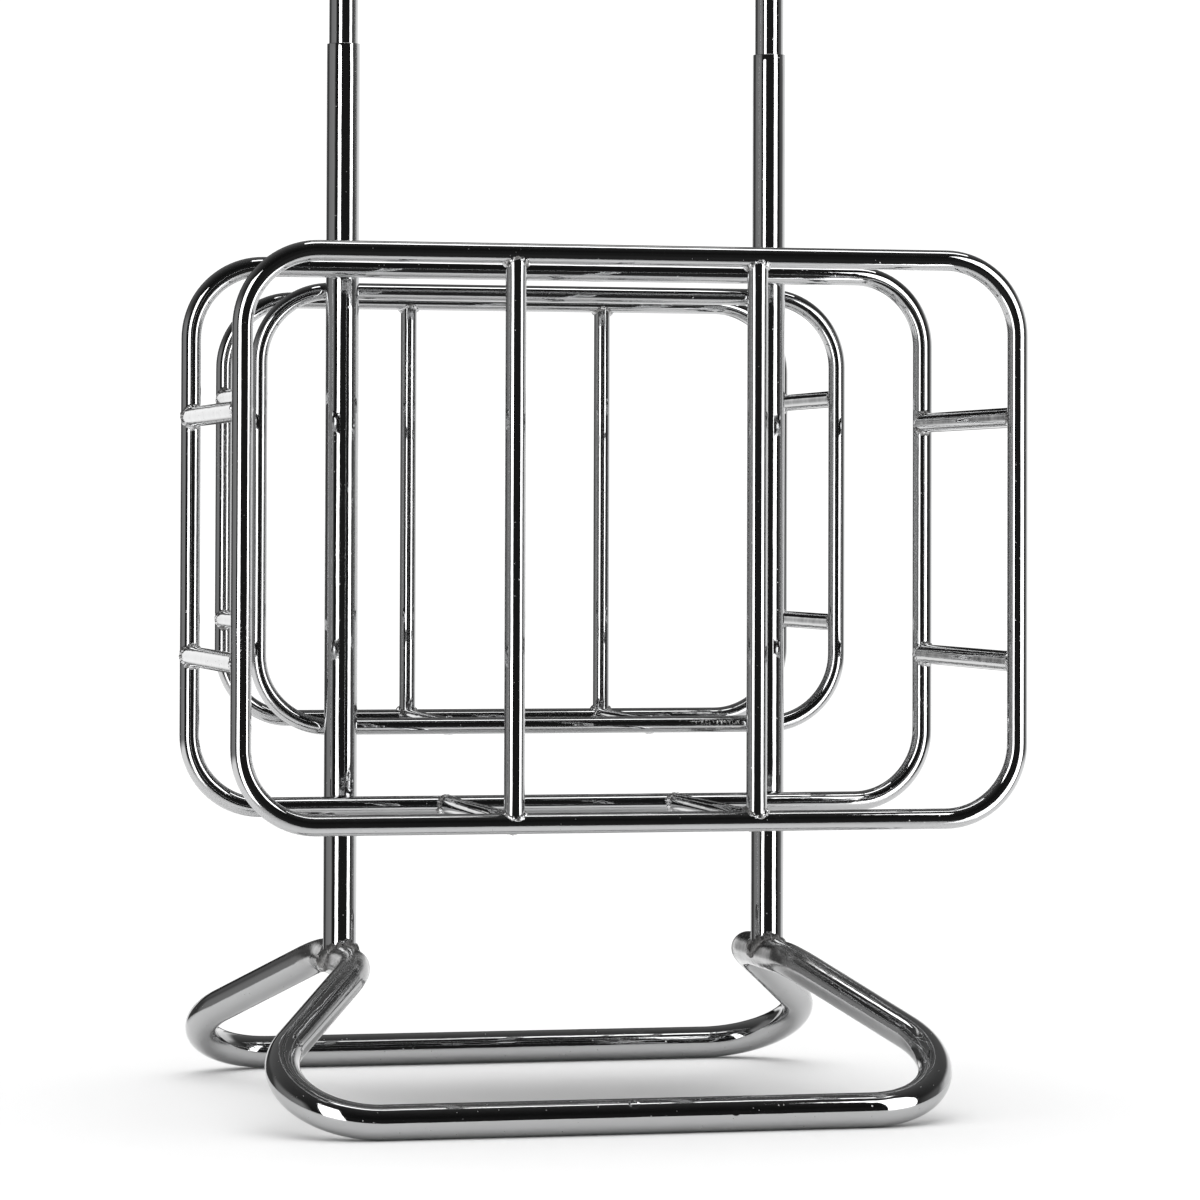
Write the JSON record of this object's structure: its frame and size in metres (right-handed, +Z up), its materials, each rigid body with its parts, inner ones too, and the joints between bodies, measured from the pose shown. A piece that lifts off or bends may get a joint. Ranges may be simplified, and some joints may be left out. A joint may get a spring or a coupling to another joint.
{
  "type": "cabin bag sizer stand",
  "caption": "Free-standing chromed tube frame that gauges cabin bags: a large open cage in front of two posts, a small cage behind, and a lift-out sign hoop.",
  "frame": {"origin": "on the floor, under the middle of the overall box", "axes": "+Z up, main cage towards -Y, rear cage towards +Y, +X to the right seen from the front"},
  "size_m": [0.592, 0.517, 1.1831],
  "materials": {
    "chromed_tube": "polished chrome plate with fine pits and scuffs",
    "plain_steel": "plain turned steel, hidden",
    "sign_paint": "white powder coat, blank",
    "washer_plastic": "black moulded plastic",
    "screw_steel": "bright stainless steel"
  },
  "bodies": {
    "stand": {"base_left_half": "chromed_tube", "base_right_half": "chromed_tube", "left_post": "chromed_tube", "right_post": "chromed_tube", "front_frame": "chromed_tube", "middle_frame": "chromed_tube", "front_bar_left": "chromed_tube", "front_bar_right": "chromed_tube", "side_bar_left_upper": "chromed_tube", "side_bar_left_lower": "chromed_tube", "side_bar_right_upper": "chromed_tube", "side_bar_right_lower": "chromed_tube", "floor_bar_left": "chromed_tube", "floor_bar_right": "chromed_tube", "rear_cage_front_frame": "chromed_tube", "rear_cage_back_frame": "chromed_tube", "rear_bar_left": "chromed_tube", "rear_bar_right": "chromed_tube", "rear_side_bar_left_upper": "chromed_tube", "rear_side_bar_left_lower": "chromed_tube", "rear_side_bar_right_upper": "chromed_tube", "rear_side_bar_right_lower": "chromed_tube", "rear_floor_bar_left": "chromed_tube", "rear_floor_bar_right": "chromed_tube", "left_stop_plug": "plain_steel", "right_stop_plug": "plain_steel"},
    "header": {"sign_hoop": "chromed_tube", "sign_panel": "sign_paint", "sign_washers": "washer_plastic", "sign_screws": "screw_steel"}
  },
  "joints": [
    {"name": "hoop_lift", "type": "slide", "parent": "stand", "child": "header", "axis": [0, 0, 1], "range_m": [0, 0.16]}
  ]
}
